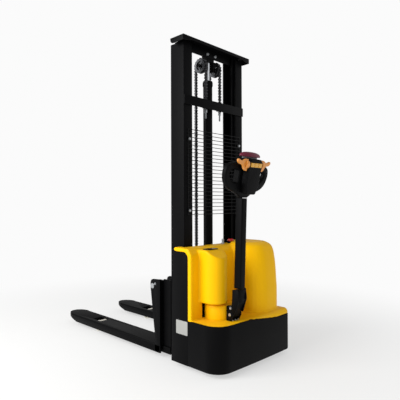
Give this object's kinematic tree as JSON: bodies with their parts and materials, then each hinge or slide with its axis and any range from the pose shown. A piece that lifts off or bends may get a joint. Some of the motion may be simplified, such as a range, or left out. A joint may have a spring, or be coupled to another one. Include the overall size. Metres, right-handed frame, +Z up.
{
  "type": "walkie stacker",
  "caption": "Pedestrian electric stacker: two-stage mast with wire guard, central lift cylinder and chains, forks over support legs, moulded cover and offset steering tiller.",
  "frame": {"origin": "on the floor, under the middle of the overall box (centre line of the mast, midway between the tiller head and the fork tips)", "axes": "+X to the truck's right, +Y in the fork direction, +Z up"},
  "size_m": [0.7136, 1.9183, 2.09],
  "materials": {
    "frame_black": "satin black powder coat",
    "cover_yellow": "glossy yellow moulded cover",
    "drum_yellow": "glossy yellow moulded drum",
    "bright_steel": "zinc plated",
    "rod_chrome": "hard chrome, ground",
    "chain_steel": "oiled leaf chain",
    "sheave_steel": "machined cast iron, oiled",
    "tyre_black": "matt polyurethane tread",
    "roller_nylon": "polyurethane roller",
    "unit_grey": "painted casting",
    "battery_case": "moulded case",
    "plate_grey": "blank etched plate",
    "head_black": "fine textured black",
    "lever_tan": "moulded amber tan lever",
    "button_red": "glossy red",
    "belly_red": "dark red moulded button",
    "button_amber": "glossy amber"
  },
  "bodies": {
    "chassis": {"outer_mast_channel_left": "frame_black", "outer_mast_channel_right": "frame_black", "outer_mast_bottom_tie": "frame_black", "chain_anchor_crossbar": "frame_black", "chain_anchor_left": "bright_steel", "chain_anchor_right": "bright_steel", "mast_guard": "frame_black", "lift_cylinder_barrel": "frame_black", "chain_rear_left": "chain_steel", "chain_rear_right": "chain_steel", "chassis_frame": "frame_black", "support_leg_left": "frame_black", "support_leg_right": "frame_black", "load_roller_axle_left": "bright_steel", "load_roller_axle_right": "bright_steel", "data_plate": "plate_grey", "body_cover": "cover_yellow", "battery_gauge": "head_black", "emergency_stop_collar": "head_black", "key_switch_barrel": "bright_steel", "battery_pack": "battery_case", "motor_controller": "unit_grey", "hydraulic_power_unit": "unit_grey"},
    "inner_mast": {"inner_mast_channel_left": "frame_black", "inner_mast_channel_right": "frame_black", "inner_mast_bottom_tie": "frame_black", "inner_mast_top_beam": "frame_black", "inner_mast_cap": "frame_black", "piston_rod": "rod_chrome", "chain_front_left": "chain_steel", "chain_front_right": "chain_steel"},
    "pulley_left": {"chain_pulley_left": "sheave_steel"},
    "pulley_right": {"chain_pulley_right": "sheave_steel"},
    "carriage": {"carriage_frame": "frame_black", "fork_left": "frame_black", "fork_right": "frame_black", "fork_pin_left": "bright_steel", "fork_pin_right": "bright_steel"},
    "load_roller_left": {"load_roller_left": "roller_nylon"},
    "load_roller_right": {"load_roller_right": "roller_nylon"},
    "drive_unit": {"drive_gearbox": "unit_grey", "drive_motor": "unit_grey", "steering_drum": "drum_yellow", "tiller_lug": "frame_black"},
    "drive_wheel": {"drive_wheel": "tyre_black"},
    "tiller": {"tiller_bracket": "frame_black", "tiller_pivot_pin": "bright_steel", "tiller_tube": "frame_black", "handle_loop": "head_black", "head_housing_rear": "head_black", "head_housing_front": "head_black"},
    "throttle": {"throttle_butterfly": "lever_tan"},
    "reverse_button": {"reverse_button": "belly_red"},
    "lift_button": {"lift_button": "button_amber"},
    "horn_button": {"horn_button": "button_amber"},
    "lower_button": {"lower_button": "button_amber"},
    "emergency_stop": {"emergency_stop_button": "button_red"},
    "key": {"ignition_key": "bright_steel"},
    "caster_fork": {"caster_fork": "bright_steel"},
    "caster_wheel": {"caster_wheel": "tyre_black"}
  },
  "joints": [
    {"name": "mast_lift", "type": "slide", "parent": "chassis", "child": "inner_mast", "axis": [0, 0, 1], "range_m": [0, 1.45], "deforming": ["chain_rear_left", "chain_rear_right"]},
    {"name": "carriage_lift", "type": "slide", "parent": "inner_mast", "child": "carriage", "axis": [0, 0, 1], "range_m": [0, 1.45], "deforming": ["chain_front_left", "chain_front_right"]},
    {"name": "pulley_left_turn", "type": "hinge", "parent": "inner_mast", "child": "pulley_left", "pos_m": [-0.071, -0.4225, 1.968], "axis": [1, 0, 0], "continuous": true},
    {"name": "pulley_right_turn", "type": "hinge", "parent": "inner_mast", "child": "pulley_right", "pos_m": [0.071, -0.4225, 1.968], "axis": [1, 0, 0], "continuous": true},
    {"name": "load_roller_left_spin", "type": "hinge", "parent": "chassis", "child": "load_roller_left", "pos_m": [-0.247, 0.5315, 0.04], "axis": [1, 0, 0], "continuous": true},
    {"name": "load_roller_right_spin", "type": "hinge", "parent": "chassis", "child": "load_roller_right", "pos_m": [0.247, 0.5315, 0.04], "axis": [1, 0, 0], "continuous": true},
    {"name": "steering", "type": "hinge", "parent": "chassis", "child": "drive_unit", "pos_m": [-0.153, -0.6545, 0.3], "axis": [0, 0, -1], "range_deg": [-70, 70]},
    {"name": "drive_wheel_spin", "type": "hinge", "parent": "drive_unit", "child": "drive_wheel", "pos_m": [-0.153, -0.6545, 0.115], "axis": [1, 0, 0], "continuous": true},
    {"name": "tiller_tilt", "type": "hinge", "parent": "drive_unit", "child": "tiller", "pos_m": [-0.153, -0.7775, 0.351], "axis": [1, 0, 0], "range_deg": [0, 70], "stiffness_Nm_per_rad": 40, "springref_deg": -57.3},
    {"name": "throttle_turn", "type": "hinge", "parent": "tiller", "child": "throttle", "pos_m": [-0.153, -0.93166, 1.25237], "axis": [1, 0, 0], "range_deg": [-25, 25], "stiffness_Nm_per_rad": 0.4},
    {"name": "reverse_button_press", "type": "slide", "parent": "tiller", "child": "reverse_button", "axis": [0, 0.225, -0.9744], "range_m": [0, 0.008], "stiffness_N_per_m": 600, "springref_m": -0.004},
    {"name": "lift_button_press", "type": "slide", "parent": "tiller", "child": "lift_button", "axis": [0, 0.9744, 0.225], "range_m": [0, 0.003], "stiffness_N_per_m": 300, "springref_m": -0.002},
    {"name": "horn_button_press", "type": "slide", "parent": "tiller", "child": "horn_button", "axis": [0, 0.9744, 0.225], "range_m": [0, 0.003], "stiffness_N_per_m": 300, "springref_m": -0.002},
    {"name": "lower_button_press", "type": "slide", "parent": "tiller", "child": "lower_button", "axis": [0, 0.9744, 0.225], "range_m": [0, 0.003], "stiffness_N_per_m": 300, "springref_m": -0.002},
    {"name": "emergency_stop_press", "type": "slide", "parent": "chassis", "child": "emergency_stop", "axis": [0, 0, -1], "range_m": [0, 0.006]},
    {"name": "key_turn", "type": "hinge", "parent": "chassis", "child": "key", "pos_m": [0.02, -0.5385, 0.76], "axis": [0, 0, 1], "range_deg": [-60, 0]},
    {"name": "caster_swivel", "type": "hinge", "parent": "chassis", "child": "caster_fork", "pos_m": [0.205, -0.6785, 0.2], "axis": [0, 0, 1], "continuous": true},
    {"name": "caster_wheel_spin", "type": "hinge", "parent": "caster_fork", "child": "caster_wheel", "pos_m": [0.205, -0.7205, 0.062], "axis": [1, 0, 0], "continuous": true}
  ],
  "couplings": [
    {"joint": "carriage_lift", "follows": "mast_lift", "ratio": 1},
    {"joint": "pulley_left_turn", "follows": "mast_lift", "rad_per_m": 22.222},
    {"joint": "pulley_right_turn", "follows": "mast_lift", "rad_per_m": 22.222}
  ]
}
